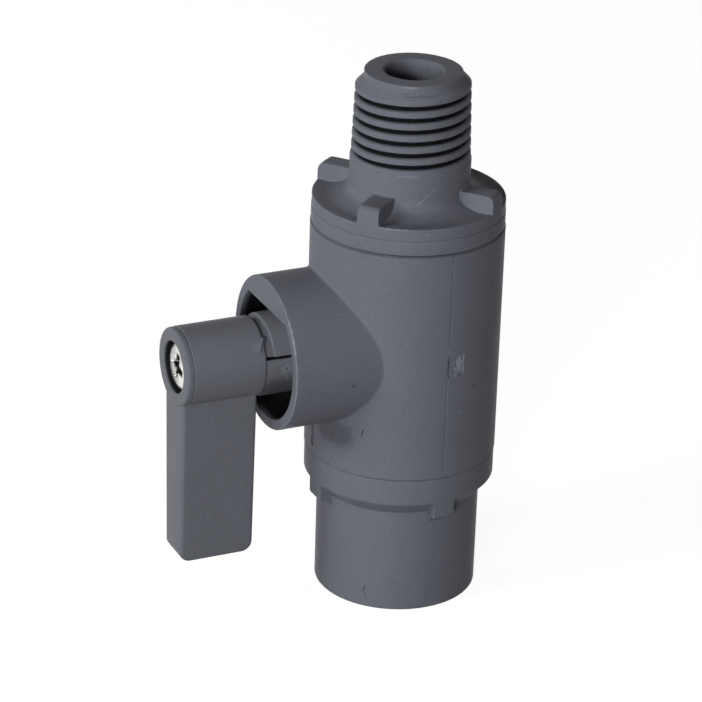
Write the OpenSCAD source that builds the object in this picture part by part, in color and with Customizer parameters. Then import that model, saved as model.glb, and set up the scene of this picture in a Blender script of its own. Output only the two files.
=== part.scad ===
// Two-way quarter-turn ball valve with quarter-inch taper pipe ends, in millimetres.
// Z is the flow axis, and the origin is the middle of the female end's face.
// The stem, its collar and the lever handle are on the -X side. The valve is drawn open.

/* [End connectors] */
// Length of the plain barrel of the female end, from its face to its flange
female_l = 14.7; // [13:0.1:20]
// Outer diameter of the female end's barrel
female_d = 19.4; // [16:0.1:21]
// Inner diameter of the female pipe thread, halfway along its taper
female_thread_d = 11.2; // [9.4:0.1:12.4]
// Depth of the full female thread
female_thread_l = 10.2; // [6:0.1:11]
// Length of the male end above its flange
male_l = 15.2; // [13:0.1:24]
// Diameter over the crests of the male pipe thread, halfway along its taper
male_thread_d = 13.6; // [12.4:0.1:15]
// Diameter of the flat ring at the male end's tip
male_tip_d = 11.4; // [9.6:0.1:12]
// Length of the plain ring at the male end's tip
male_tip_l = 0.75; // [0.2:0.05:1.2]
// Length of the lead-in cone between that ring and the thread
male_lead_l = 1.05; // [0.6:0.05:2]
// Distance from one turn of the pipe threads to the next
thread_pitch = 1.411; // [1:0.001:1.9]
// Width of the male thread's groove at the crests
groove_w = 0.66; // [0.4:0.02:0.9]
// Width of the male thread's groove at its root
groove_root_w = 0.12; // [0.06:0.02:0.3]
// Depth of the male thread's groove
groove_depth = 0.6; // [0.3:0.05:0.8]
// Diameter of the smooth neck below the male thread
neck_d = 14.1; // [13.8:0.1:17]
// Length of the smooth neck, from the flange to the thread
neck_l = 5.2; // [4:0.1:8]
// Radius of the fillet at the neck's foot
neck_fillet_r = 1.1; // [0.4:0.1:1.6]
// Length of the slightly slimmer top of the neck
neck_step_l = 0.55; // [0.3:0.05:1]
// Bore that the fluid passes through
flow_bore_d = 6.8; // [4:0.1:6.9]

/* [Flanges and spanner lugs] */
// How far the rims of both connectors' flanges stay inside the barrel's surface
flange_inset = 0.07; // [0:0.01:0.3]
// Thickness of both flanges at the rim
flange_t = 3.3; // [2:0.1:6]
// Rise of the male flange's top from its rim to the foot of the neck
flange_rise = 0.65; // [0.2:0.05:1.2]
// Number of spanner lugs on each flange
lug_n = 4; // [2:1:6]
// Width of a spanner lug
lug_w = 2.7; // [1.6:0.1:4]
// Height of a spanner lug above the flange's rim
lug_h = 2.05; // [1.4:0.05:3]
// Radius of a lug's outer end corner
lug_corner_r = 0.9; // [0.3:0.1:1.2]
// Radius of the edges along a lug's sides
lug_side_r = 0.35; // [0.1:0.05:0.6]
// Angle of the first lug on the male flange
male_lug_angle = 40; // [0:1:89]
// Angle of the first lug on the female flange
female_lug_angle = 4; // [0:1:89]

/* [Body] */
// Outer diameter of the body's barrel
body_d = 22.8; // [22:0.1:28]
// Length of the body between the two flanges
body_l = 28.5; // [27:0.1:40]
// Outer diameter of the collar round the stem
collar_d = 18.3; // [17:0.1:20]
// Wall of the collar
collar_wall = 1.25; // [0.8:0.05:1.5]
// How far the collar's face stands out from the barrel
collar_reach = 6.3; // [5.4:0.1:12]
// Height of the flat stop over the stem axis, inside the collar
stop_flat_h = 5.7; // [5.4:0.05:6.2]
// Width of the narrow slot in the barrel under the collar
drain_slot_w = 0.5; // [0.3:0.1:1]
// Length of the narrow slot
drain_slot_l = 2.6; // [1:0.1:3]
// Depth of the narrow slot
drain_slot_depth = 0.3; // [0.1:0.1:0.6]
// Height of the narrow slot over the barrel's lower end
drain_slot_h = 1.3; // [0.5:0.1:2]
// Length of the stem's bore through the body's wall
gland_l = 3.6; // [3.2:0.1:4.2]
// Diameter of the body's screwed ends
screw_d = 18.7; // [17.6:0.1:19.2]
// Length of the body's screwed ends
screw_l = 3.8; // [2.5:0.1:4]

/* [Ball and seats] */
// Diameter of the ball
ball_d = 12.4; // [11.8:0.1:12.6]
// Depth of the drive slot in the ball
slot_depth = 1.8; // [1:0.1:2]
// Width of the drive slot in the ball
slot_w = 2.4; // [1.6:0.1:3]
// Outer diameter of a ball seat
seat_d = 13; // [12.4:0.1:13.4]
// Distance from the ball's centre to a seat's front face
seat_front = 4.2; // [4:0.1:4.6]
// Distance from the ball's centre to a seat's back face
seat_back = 7.4; // [6.8:0.1:7.8]
// How far a seat's bore is wider than the flow bore, all round
seat_bore_gap = 0.1; // [0:0.05:0.3]
// Wall of a connector's nose round its seat
nose_wall = 1.7; // [1.5:0.05:2]
// Thickness of the elastic ring behind a seat
cushion_section_d = 1.04; // [0.8:0.02:1.2]
// Thickness of the elastic ring round a connector's nose
body_seal_section_d = 0.9; // [0.7:0.02:1.1]

/* [Stem] */
// Diameter of the stem's shaft
stem_d = 6.6; // [6:0.1:7]
// Diameter of the stem's inner flange
stem_flange_d = 8.8; // [8:0.1:9]
// Thickness of the stem's inner flange
stem_flange_t = 1.05; // [0.7:0.05:1.4]
// Gap between the seats and the stem's flange
stem_flange_gap = 0.5; // [0.3:0.05:0.8]
// Gap round the stem's flange, to the body and to the connectors' noses
stem_flange_room = 0.25; // [0.15:0.05:0.4]
// How far the tongue's rounded sides are inside the shaft's
tongue_inset = 0.7; // [0.3:0.1:1]
// Distance across the stem's two driving flats
stem_flat_w = 5; // [4.2:0.1:5.6]
// Thickness of the elastic rings round the stem
stem_seal_section_d = 0.86; // [0.7:0.02:1]
// Thickness of the thrust washer on the stem's flange
washer_t = 0.5; // [0.3:0.05:0.9]

/* [Stop collar] */
// Outer diameter of the split stop collar inside the body's collar
stop_collar_d = 9.7; // [9.2:0.1:10.2]
// Length of a stop tab along the stem
stop_tab_l = 2.6; // [1.5:0.1:3]
// Distance from the collar's floor to the stop tabs
stop_tab_lift = 1; // [0.5:0.1:2]
// Gap between a stop tab and the collar's wall
stop_tab_gap = 0.3; // [0.2:0.05:0.6]
// Width of the slit in the stop collar's wall
slit_w = 0.35; // [0.2:0.05:0.6]
// How far the stop collar's upper half is set back from the hub
shoulder_back = 0.9; // [0.9:0.1:1.4]
// Depth of that set-back, measured from the hub's surface
shoulder_inset = 0.45; // [0.2:0.05:0.8]
// Angle that a stop tab covers round the stem
stop_tab_angle = 25; // [12:1:35]
// Quarter turn of the handle
turn = 90; // [80:1:92]

/* [Handle] */
// Diameter of the handle's hub
hub_d = 9.4; // [8.8:0.1:11]
// Length of the handle's hub
hub_l = 9.75; // [9:0.05:14]
// Gap between the body's collar and the hub
hub_gap = 1.75; // [1:0.05:4]
// Chamfer of the hub's inner edge
hub_edge = 0.25; // [0.1:0.05:0.5]
// Width of the tooth at the hub's inner end
tooth_w = 1.8; // [1:0.1:2.4]
// How far the tooth reaches into the stop collar's set-back
tooth_l = 0.65; // [0.3:0.05:0.8]
// How far the tooth's ridge stands proud of the hub
tooth_proud = 0.2; // [0.1:0.05:0.4]
// Length of the ramp from the hub's surface up to the tooth's ridge
tooth_ramp_l = 1.1; // [0.5:0.1:2]
// Distance from the hub's inner end to the lever's inner side
lever_inset = 0.3; // [0:0.1:1]
// Radius of the hub's rounded outer edge
hub_round_r = 0.85; // [0.3:0.05:1.2]
// Distance from the stem axis to the lever's tip
lever_l = 24.4; // [16:0.1:45]
// Width of the lever along the stem
lever_w = 9.3; // [6:0.1:9.5]
// Thickness of the lever where it meets the hub
lever_root_t = 5.65; // [4:0.05:7]
// Thickness of the lever at its tip
lever_tip_t = 4.75; // [3:0.05:6]
// Radius of the lever's two tip corners
lever_corner_r = 1.3; // [0.8:0.1:2.2]
// Radius of the lever's rounded edges
lever_edge_r = 0.4; // [0.2:0.05:0.7]

/* [Handle screw] */
// Diameter of the screw's shank
screw_shank_d = 3; // [2:0.1:3.2]
// Length of the screw's shank
screw_shank_l = 12; // [6:0.5:12]
// Diameter of the screw's pan head
screw_head_d = 5.6; // [4:0.1:5.8]
// Height of the screw's pan head
screw_head_h = 2.37; // [1.4:0.01:2.6]
// Depth of the screw head's top below the hub's face
screw_head_sunk = 0.43; // [0.2:0.01:1]
// Thickness of the hub's floor between the screw's head and the stem's end
hub_floor_t = 1.4; // [1:0.1:2]
// Length of the pilot hole past the screw's point
pilot_room = 0.4; // [0.2:0.1:1]
// Gap round the screw's shank in the hub
shank_gap = 0.2; // [0.1:0.05:0.4]
// Diameter of the counterbore round the screw's head
counterbore_d = 6.2; // [6:0.1:7]

/* [Clearances] */
// Gap all round a part that slides or screws into another
slip = 0.05; // [0.03:0.01:0.08]
// Gap all round the stem in its bore
stem_slip = 0.06; // [0.03:0.01:0.08]
// Gap between an elastic ring and the walls of its groove
ring_gap = 0.02; // [0.01:0.01:0.04]
// Gap between the ball and its seats
ball_gap = 0.06; // [0.03:0.01:0.1]
// End play of the parts along the stem
end_play = 0.05; // [0.02:0.01:0.1]

/* [Edges] */
// Rounded and chamfered edges of the body and its collar
body_edge = 0.2; // [0.1:0.05:0.3]
// Chamfers on the flanges' rims
rim_edge = 0.15; // [0.1:0.05:0.25]
// Chamfers at the female end's mouth
mouth_edge = 0.3; // [0.1:0.05:0.4]
// Chamfer of the flow bore at the male tip, and the small steps at the neck
tip_edge = 0.2; // [0.1:0.05:0.3]

/* [Hidden] */
$fn = 96;
eps = 0.5;

pvc_grey = [0.46, 0.47, 0.50];
handle_grey = [0.48, 0.49, 0.52];
ptfe_white = [0.93, 0.93, 0.91];
rubber_black = [0.09, 0.09, 0.10];
stainless = [0.78, 0.78, 0.76];

// Heights along the flow axis
body_z0 = female_l + flange_t;
body_z1 = body_z0 + body_l;
stem_z = body_z0 + body_l / 2;
male_flange_z = body_z1 + flange_t;
tip_z = male_flange_z + male_l;
thread_z = tip_z - male_tip_l - male_lead_l;

// Radii of the body's bore and of what fits in it
flow_r = flow_bore_d / 2;
ball_r = ball_d / 2;
body_r = body_d / 2;
flange_r = body_r - flange_inset;
lug_root = lug_w / 9;
seat_r = seat_d / 2;
seat_bore_r = flow_r + seat_bore_gap;
pocket_r = seat_r + slip;
nose_r = pocket_r + nose_wall;
bore_r = nose_r + slip;
screw_r = screw_d / 2;
step_dz = body_l / 2 - screw_l;

// Distances along the stem, from the flow axis outwards
stem_r = stem_d / 2;
stem_bore_r = stem_r + stem_slip;
slot_s = ball_r - slot_depth;
tongue_s = slot_s + 2 * end_play;
stem_flange_s = max(ball_r, seat_r) + stem_flange_gap;
washer_s = stem_flange_s + stem_flange_t + end_play / 2;
spot_face_s = washer_s + washer_t + end_play / 2;
gland_s = spot_face_s + gland_l;
collar_r = collar_d / 2;
collar_in_r = collar_r - collar_wall;
collar_s = body_r + collar_reach;
hub_s = collar_s + hub_gap;
hub_end_s = hub_s + hub_l;
screw_seat_s = hub_end_s - screw_head_sunk - screw_head_h;
stem_end_s = screw_seat_s - hub_floor_t;
socket_end_s = stem_end_s + 3 * end_play;

// Elastic rings: middle radius of each and the groove that holds it
cushion_r = cushion_section_d / 2;
cushion_ring_r = (flow_r + pocket_r) / 2;
cushion_dz = seat_back + ring_gap + cushion_r;
body_seal_r = body_seal_section_d / 2;
body_seal_ring_r = bore_r - ring_gap - body_seal_r;
body_seal_dz = (cushion_dz + cushion_r + step_dz) / 2;
stem_seal_r = stem_seal_section_d / 2;
stem_seal_ring_r = stem_bore_r - ring_gap - stem_seal_r;
stem_groove_w = stem_seal_section_d * 1.3;
stem_land = (gland_l - 2 * stem_groove_w) / 3;
stem_seal_s = [
    spot_face_s + stem_land + stem_groove_w / 2,
    gland_s - stem_land - stem_groove_w / 2
];

// Stops: the tabs' outer radius and the angle at which a tab meets the flat
stop_tab_r = collar_in_r - stop_tab_gap;
stop_meet_angle = asin(stop_flat_h / stop_tab_r);
stop_play_angle = 0.6;
stop_tab_s = gland_s + stop_tab_lift;
neck_s = gland_s + 3 * end_play;
neck_end_s = hub_s - end_play;
slit_angle = 16.6;
tooth_angle = 38;
shoulder_r = hub_d / 2 - shoulder_inset;

// Places its children on the stem axis: local Z points outwards and local X points up
module on_stem() {
    translate([0, 0, stem_z]) rotate([0, -90, 0]) children();
}

// Turns its children round the stem axis, by an angle measured from -Y towards the top
module at_stem_angle(a) {
    rotate([0, 0, -90 + a]) children();
}

// Arc of points about a centre, from one angle to another
function arc(c, r, a0, a1, n = 8) =
    [for (k = [0:n]) c + r * [cos(a0 + (a1 - a0) * k / n), sin(a0 + (a1 - a0) * k / n)]];

// Ring of round section about the local Z axis
module ring(mid_r, section_r) {
    rotate_extrude() translate([mid_r, 0]) circle(r = section_r, $fn = 32);
}

// Tube between two heights
module tube(r_out, r_in, z0, z1) {
    rotate_extrude() translate([r_in, z0]) square([r_out - r_in, z1 - z0]);
}

// One spanner lug, drawn as if on a flange whose rim is at height 0, pointing up.
// Its outer end is flush with the flange, and its corners are rounded both ways.
module lug(root_r) {
    rise = lug_h;
    side_r = lug_side_r;
    intersection() {
        cylinder(r = flange_r, h = 3 * rise, center = true);
        rotate([90, 0, 0]) translate([0, 0, -lug_w / 2]) linear_extrude(lug_w)
            polygon(concat(
                [[root_r, -eps], [flange_r + eps, -eps], [flange_r + eps, 0], [flange_r, 0]],
                arc([flange_r - lug_corner_r, rise - lug_corner_r], lug_corner_r, 0, 90),
                [[root_r, rise]]));
        rotate([90, 0, 90]) linear_extrude(flange_r + eps)
            polygon(concat(
                [[lug_w / 2, -eps]],
                arc([lug_w / 2 - side_r, rise - side_r], side_r, 0, 90, 5),
                arc([side_r - lug_w / 2, rise - side_r], side_r, 90, 180, 5),
                [[-lug_w / 2, -eps]]));
    }
}

module lugs(root_r, first_angle) {
    for (k = [0:lug_n - 1]) rotate([0, 0, first_angle + 360 * k / lug_n]) lug(root_r);
}

// The half of a connector that goes into the body, as a solid of revolution about the
// flow axis. Height 0 is the ball's centre. The nose holds the seat and its cushion,
// and the groove round it holds the body seal.
module connector_inside() {
    nose_dz = max(stem_flange_d / 2 + stem_flange_room, seat_front + stem_flange_gap);
    groove_w = body_seal_section_d * 1.25;
    groove_r = body_seal_ring_r - body_seal_r - ring_gap;
    cushion_w = cushion_section_d + 4 * ring_gap;
    difference() {
        union() {
            cylinder(r = nose_r, h = body_l / 2);
            translate([0, 0, step_dz + slip]) cylinder(r = screw_r, h = screw_l - slip);
        }
        translate([0, 0, -eps]) cylinder(r = nose_r + eps, h = nose_dz + eps);
        cylinder(r = pocket_r, h = seat_back + slip);
        tube(cushion_ring_r + cushion_w / 2, cushion_ring_r - cushion_w / 2,
            seat_back, cushion_dz + cushion_r + ring_gap);
        tube(nose_r + eps, groove_r, body_seal_dz - groove_w / 2, body_seal_dz + groove_w / 2);
        cylinder(r = flow_r, h = body_l);
    }
}

module body() {
    edge = body_edge;
    color(pvc_grey) difference() {
        union() {
            rotate_extrude() polygon([
                [0, body_z0], [body_r - edge, body_z0], [body_r, body_z0 + edge],
                [body_r, body_z1 - edge], [body_r - edge, body_z1], [0, body_z1]]);
            on_stem() rotate_extrude() polygon(concat(
                [[0, 0], [collar_r, 0]],
                arc([collar_r - edge, collar_s - edge], edge, 0, 90, 4),
                [[0, collar_s]]));
        }
        // Main bore and the two screwed ends
        translate([0, 0, stem_z - step_dz]) cylinder(r = bore_r, h = 2 * step_dz);
        translate([0, 0, body_z0 - eps]) cylinder(r = screw_r + slip, h = screw_l + eps);
        translate([0, 0, body_z1 - screw_l]) cylinder(r = screw_r + slip, h = screw_l + eps);
        // Room for the stem's flange, and the stem's bore
        on_stem() cylinder(r = stem_flange_d / 2 + stem_flange_room, h = spot_face_s);
        on_stem() cylinder(r = stem_bore_r, h = collar_s);
        // Inside of the collar, closed above the stem by the flat stop
        on_stem() translate([0, 0, gland_s]) difference() {
            cylinder(r = collar_in_r, h = collar_s);
            translate([stop_flat_h, -collar_r, -eps]) cube([collar_r, collar_d, collar_s + 2 * eps]);
        }
        // Narrow slot in the barrel under the collar
        translate([-body_r - eps, -drain_slot_w / 2, body_z0 + drain_slot_h])
            cube([eps + drain_slot_depth, drain_slot_w, drain_slot_l]);
    }
}

// Profile of one groove of the male thread, from its lower edge to its upper one
function groove(crest_r, z) = [
    [crest_r, z - groove_w / 2], [crest_r - groove_depth, z - groove_root_w / 2],
    [crest_r - groove_depth, z + groove_root_w / 2], [crest_r, z + groove_w / 2]
];

// The thread's turns are drawn as rings, one pitch apart
module male_end_connector() {
    edge = rim_edge;
    foot_r = neck_d / 2;
    fillet_r = neck_fillet_r;
    floor_z = male_flange_z + flange_rise;
    neck_z = male_flange_z + neck_l;
    thread_r = male_thread_d / 2;
    step_z = neck_z - neck_step_l;
    step_w = tip_edge / 4;
    upper_neck_r = max(thread_r, foot_r - step_w);
    first_groove_z = thread_z - thread_pitch / 2;
    groove_n = floor((first_groove_z - groove_w / 2 - neck_z - step_w) / thread_pitch) + 1;
    color(pvc_grey) difference() {
        union() {
            translate([0, 0, stem_z]) connector_inside();
            rotate_extrude() polygon(concat(
                [[0, body_z1], [flange_r - edge, body_z1], [flange_r, body_z1 + edge],
                    [flange_r, male_flange_z - edge], [flange_r - edge, male_flange_z]],
                arc([foot_r + fillet_r, floor_z + fillet_r], fillet_r, 270, 180, 10),
                [[foot_r, step_z], [upper_neck_r, step_z + step_w], [upper_neck_r, neck_z],
                    [thread_r, neck_z + step_w]],
                [for (k = [groove_n - 1:-1:0]) each groove(thread_r, first_groove_z - k * thread_pitch)],
                [[thread_r, thread_z], [male_tip_d / 2, tip_z - male_tip_l],
                    [male_tip_d / 2, tip_z], [0, tip_z]]));
            translate([0, 0, male_flange_z]) lugs(foot_r - lug_root, male_lug_angle);
        }
        translate([0, 0, stem_z]) cylinder(r = flow_r, h = tip_z);
        translate([0, 0, tip_z - tip_edge])
            cylinder(r1 = flow_r, r2 = flow_r + 2 * tip_edge, h = 2 * tip_edge);
    }
}

module female_end_connector() {
    edge = rim_edge;
    barrel_r = female_d / 2;
    thread_r = female_thread_d / 2;
    color(pvc_grey) difference() {
        union() {
            translate([0, 0, stem_z]) mirror([0, 0, 1]) connector_inside();
            rotate_extrude() polygon([
                [0, 0], [barrel_r - mouth_edge, 0], [barrel_r, mouth_edge], [barrel_r, female_l],
                [flange_r - edge, female_l], [flange_r, female_l + edge],
                [flange_r, body_z0 - edge], [flange_r - edge, body_z0], [0, body_z0]]);
            translate([0, 0, female_l]) mirror([0, 0, 1]) lugs(barrel_r - lug_root, female_lug_angle);
        }
        translate([0, 0, -eps]) cylinder(r = flow_r, h = stem_z);
        // Pipe thread socket, with its chamfered mouth and the cone at its end
        translate([0, 0, -eps]) cylinder(r = thread_r, h = female_thread_l + eps);
        translate([0, 0, female_thread_l])
            cylinder(r1 = thread_r, r2 = flow_r, h = (thread_r - flow_r) * 0.6);
        translate([0, 0, -edge])
            cylinder(r1 = thread_r + edge + mouth_edge, r2 = thread_r, h = edge + mouth_edge);
    }
}

module ball() {
    color(pvc_grey) translate([0, 0, stem_z]) difference() {
        sphere(r = ball_r);
        cylinder(r = flow_r, h = 3 * ball_r, center = true);
        translate([-slot_s - ball_d, -ball_r, -slot_w / 2]) cube([ball_d, ball_d, slot_w]);
    }
}

// A seat, drawn above the ball: a ring with a hollow that matches the ball
module ball_seat() {
    color(ptfe_white) difference() {
        tube(seat_r, seat_bore_r, seat_front, seat_back);
        sphere(r = ball_r + ball_gap);
    }
}

module upper_ball_seat() { translate([0, 0, stem_z]) ball_seat(); }

module lower_ball_seat() { translate([0, 0, stem_z]) mirror([0, 0, 1]) ball_seat(); }

module seat_cushion_ring(side) {
    color(rubber_black) translate([0, 0, stem_z + side * cushion_dz]) ring(cushion_ring_r, cushion_r);
}

module upper_seat_cushion_ring() { seat_cushion_ring(1); }

module lower_seat_cushion_ring() { seat_cushion_ring(-1); }

module body_seal_ring(side) {
    color(rubber_black) translate([0, 0, stem_z + side * body_seal_dz]) ring(body_seal_ring_r, body_seal_r);
}

module upper_body_seal_ring() { body_seal_ring(1); }

module lower_body_seal_ring() { body_seal_ring(-1); }

module stem() {
    tongue_t = slot_w - 4 * end_play;
    tongue_r = stem_r - tongue_inset;
    pilot_r = screw_shank_d / 2 + ring_gap;
    pilot_l = screw_shank_l - hub_floor_t + pilot_room;
    groove_r = stem_seal_ring_r - stem_seal_r - ring_gap;
    flats_s = gland_s + 2 * end_play;
    color(pvc_grey) on_stem() difference() {
        union() {
            intersection() {
                translate([0, 0, tongue_s]) cylinder(r = tongue_r, h = stem_flange_s - tongue_s);
                translate([-tongue_t / 2, -stem_r, 0]) cube([tongue_t, stem_d, stem_flange_s]);
            }
            translate([0, 0, stem_flange_s]) cylinder(r = stem_flange_d / 2, h = stem_flange_t);
            translate([0, 0, stem_flange_s]) cylinder(r = stem_r, h = stem_end_s - stem_flange_s);
        }
        for (s = stem_seal_s)
            tube(stem_r + eps, groove_r, s - stem_groove_w / 2, s + stem_groove_w / 2);
        // Driving flats, from just outside the body to the outer end
        for (side = [-1, 1])
            translate([-stem_r, side * (stem_flat_w / 2 + stem_r) - stem_r, flats_s])
                cube([stem_d, stem_d, stem_end_s]);
        translate([0, 0, stem_end_s - pilot_l]) cylinder(r = pilot_r, h = pilot_l + eps);
    }
}

module stem_thrust_washer() {
    color(ptfe_white) on_stem() tube(stem_flange_d / 2, stem_bore_r, washer_s, washer_s + washer_t);
}

module stem_seal_ring(k) {
    color(rubber_black) on_stem() translate([0, 0, stem_seal_s[k]]) ring(stem_seal_ring_r, stem_seal_r);
}

module inner_stem_seal_ring() { stem_seal_ring(0); }

module outer_stem_seal_ring() { stem_seal_ring(1); }

// Hole that fits over the stem's end with its two flats
module stem_socket(s0, s1) {
    translate([0, 0, s0]) intersection() {
        cylinder(r = stem_bore_r, h = s1 - s0);
        translate([-stem_r - eps, -stem_flat_w / 2 - slip, -eps])
            cube([stem_d + 2 * eps, stem_flat_w + 2 * slip, s1 - s0 + 2 * eps]);
    }
}

// Sector about the local Z axis, from one angle to another, as cut-out or stop tab
module sector(r, a0, a1, h) {
    linear_extrude(h) polygon(concat([[0, 0]], arc([0, 0], r, a0, a1, 12)));
}

module stop_collar() {
    outer_r = stop_collar_d / 2;
    open_tab_a = stop_meet_angle - stop_play_angle;
    shut_tab_a = 180 - stop_meet_angle + stop_play_angle + turn;
    color(pvc_grey) on_stem() difference() {
        union() {
            translate([0, 0, neck_s]) cylinder(r = outer_r, h = neck_end_s - neck_s);
            // The two tabs that meet the flat stop, one at each end of the turn
            at_stem_angle(0) translate([0, 0, stop_tab_s]) {
                sector(stop_tab_r, open_tab_a - stop_tab_angle, open_tab_a, stop_tab_l);
                sector(stop_tab_r, shut_tab_a, shut_tab_a + stop_tab_angle, stop_tab_l);
            }
        }
        // Upper half set back from the hub, and the slit through the wall
        at_stem_angle(slit_angle) translate([0, 0, neck_end_s - shoulder_back]) difference() {
            sector(outer_r + eps, 0, 180, shoulder_back + eps);
            cylinder(r = shoulder_r, h = shoulder_back + eps);
        }
        at_stem_angle(slit_angle) translate([0, -slit_w / 2, 0])
            cube([outer_r + eps, slit_w, neck_end_s + eps]);
        stem_socket(neck_s - eps, neck_end_s + eps);
    }
}

// The lever, drawn by its rounded outline at the root and at the tip
module lever() {
    mid_s = hub_s + lever_inset + lever_w / 2;
    tip_dx = lever_w / 2 - lever_corner_r;
    tip_narrowing = lever_edge_r / 4;
    // A disc across the lever's thickness, with its two rims rounded
    module round_disc(r, t) {
        for (a = [0, 30, 60, 90])
            rotate([90, 0, 0]) cylinder(
                r = r - lever_edge_r * (1 - cos(a)),
                h = t - 2 * lever_edge_r * (1 - sin(a)), center = true, $fn = 32);
    }
    hull() {
        for (side = [-1, 1]) {
            translate([-lever_l + lever_corner_r, 0, mid_s + side * (tip_dx - tip_narrowing)])
                round_disc(lever_corner_r, lever_tip_t);
            translate([0, 0, mid_s + side * tip_dx]) round_disc(lever_corner_r, lever_root_t);
        }
    }
}

module handle() {
    hub_r = hub_d / 2;
    inner_edge = hub_edge;
    tooth_s = hub_s - tooth_l;
    ridge_s = hub_s + hub_edge;
    color(handle_grey) on_stem() difference() {
        union() {
            rotate_extrude() polygon(concat(
                [[0, hub_s], [hub_r - inner_edge, hub_s], [hub_r, hub_s + inner_edge]],
                arc([hub_r - hub_round_r, hub_end_s - hub_round_r], hub_round_r, 0, 90, 8),
                [[0, hub_end_s]]));
            lever();
            // Tooth that stands in the stop collar's set-back, with a ramp behind its ridge
            at_stem_angle(tooth_angle) rotate([90, 0, 0]) translate([0, 0, -tooth_w / 2])
                linear_extrude(tooth_w) polygon([
                    [shoulder_r + slip, tooth_s], [hub_r, tooth_s], [hub_r + tooth_proud, ridge_s],
                    [hub_r - slip, ridge_s + tooth_ramp_l], [shoulder_r + slip, ridge_s + tooth_ramp_l]]);
        }
        stem_socket(hub_s - eps, socket_end_s);
        cylinder(r = screw_shank_d / 2 + shank_gap, h = hub_end_s);
        translate([0, 0, screw_seat_s]) cylinder(r = counterbore_d / 2, h = hub_l);
    }
}

module handle_screw() {
    head_r = screw_head_d / 2;
    edge = screw_head_h * 0.42;
    crown = screw_head_h * 0.06;
    color(stainless) on_stem() union() {
        translate([0, 0, screw_seat_s - screw_shank_l])
            cylinder(r = screw_shank_d / 2, h = screw_shank_l + screw_head_h / 2);
        translate([0, 0, screw_seat_s]) rotate_extrude() polygon(concat(
            [[0, 0], [head_r, 0]],
            arc([head_r - edge, screw_head_h - edge - crown], edge, 0, 60, 5),
            [[0, screw_head_h]]));
    }
}

body();
male_end_connector();
female_end_connector();
ball();
upper_ball_seat();
lower_ball_seat();
upper_seat_cushion_ring();
lower_seat_cushion_ring();
upper_body_seal_ring();
lower_body_seal_ring();
stem();
stem_thrust_washer();
inner_stem_seal_ring();
outer_stem_seal_ring();
stop_collar();
handle();
handle_screw();
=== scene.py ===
import math

import bpy
import numpy as np
from mathutils import Matrix, Vector


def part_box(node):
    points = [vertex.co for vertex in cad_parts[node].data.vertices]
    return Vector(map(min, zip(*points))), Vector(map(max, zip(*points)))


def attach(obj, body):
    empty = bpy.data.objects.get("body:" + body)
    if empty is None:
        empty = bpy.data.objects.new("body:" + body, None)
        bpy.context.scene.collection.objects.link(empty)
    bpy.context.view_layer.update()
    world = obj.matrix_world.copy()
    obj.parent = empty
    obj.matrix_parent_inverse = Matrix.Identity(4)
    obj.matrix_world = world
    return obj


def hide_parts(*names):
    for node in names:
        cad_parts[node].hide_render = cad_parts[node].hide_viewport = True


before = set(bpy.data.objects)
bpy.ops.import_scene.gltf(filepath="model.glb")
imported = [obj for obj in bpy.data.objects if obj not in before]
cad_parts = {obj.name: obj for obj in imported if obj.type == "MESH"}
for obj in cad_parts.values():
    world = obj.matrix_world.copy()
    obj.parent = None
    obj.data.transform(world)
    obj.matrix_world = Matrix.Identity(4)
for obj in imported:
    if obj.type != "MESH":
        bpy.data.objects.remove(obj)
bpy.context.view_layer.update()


# The studio: a white table and surroundings, a high lamp at the left, in line with the
# stem, a low one at the front left and two weak low ones at the back and the right. The
# camera has a long lens and looks down on the valve from the front left.
MM = 0.001
VALVE_MIDDLE = Vector((-9 * MM, 0, 32 * MM))
CAMERA_AZIMUTH = math.radians(-25.09)
CAMERA_ELEVATION = math.radians(24.66)
CAMERA_ROLL = math.radians(1.94)
CAMERA_DISTANCE = 422.3
CAMERA_LENS = 183.03
AIM_SIDEWAYS = -6.105
AIM_HEIGHT = 29.372
COOL_WHITE = (0.96, 0.99, 1.05)


def place_camera():
    """The camera looks back along a direction given by azimuth and elevation at a point
    beside the flow axis, turned a little about its own line of sight."""
    back = np.array([
        math.sin(CAMERA_AZIMUTH) * math.cos(CAMERA_ELEVATION),
        -math.cos(CAMERA_AZIMUTH) * math.cos(CAMERA_ELEVATION),
        math.sin(CAMERA_ELEVATION)])
    level_right = np.array([math.cos(CAMERA_AZIMUTH), math.sin(CAMERA_AZIMUTH), 0.0])
    level_up = np.cross(back, level_right)
    right = level_right * math.cos(CAMERA_ROLL) + level_up * math.sin(CAMERA_ROLL)
    up = level_up * math.cos(CAMERA_ROLL) - level_right * math.sin(CAMERA_ROLL)
    aim = level_right * AIM_SIDEWAYS + np.array([0, 0, AIM_HEIGHT])
    place = (aim + back * CAMERA_DISTANCE) * MM
    lens = bpy.data.cameras.new("camera")
    lens.lens = CAMERA_LENS
    lens.sensor_width = 36
    lens.clip_start = 0.02
    lens.clip_end = 20
    camera = bpy.data.objects.new("camera", lens)
    camera.matrix_world = Matrix([
        [right[k], up[k], back[k], place[k]] for k in range(3)] + [[0, 0, 0, 1]])
    bpy.context.collection.objects.link(camera)
    bpy.context.scene.camera = camera


def soft_lamp(name, azimuth, elevation, distance, size, power, colour=(1, 1, 1)):
    """A square lamp that faces the valve from the given direction."""
    a, e = math.radians(azimuth), math.radians(elevation)
    direction = Vector((math.cos(a) * math.cos(e), math.sin(a) * math.cos(e), math.sin(e)))
    light = bpy.data.lights.new(name, "AREA")
    light.shape = "SQUARE"
    light.size = size
    light.energy = power
    light.color = colour
    lamp = bpy.data.objects.new(name, light)
    lamp.location = VALVE_MIDDLE + direction * distance
    lamp.rotation_euler = direction.to_track_quat("Z", "Y").to_euler()
    bpy.context.collection.objects.link(lamp)


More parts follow.
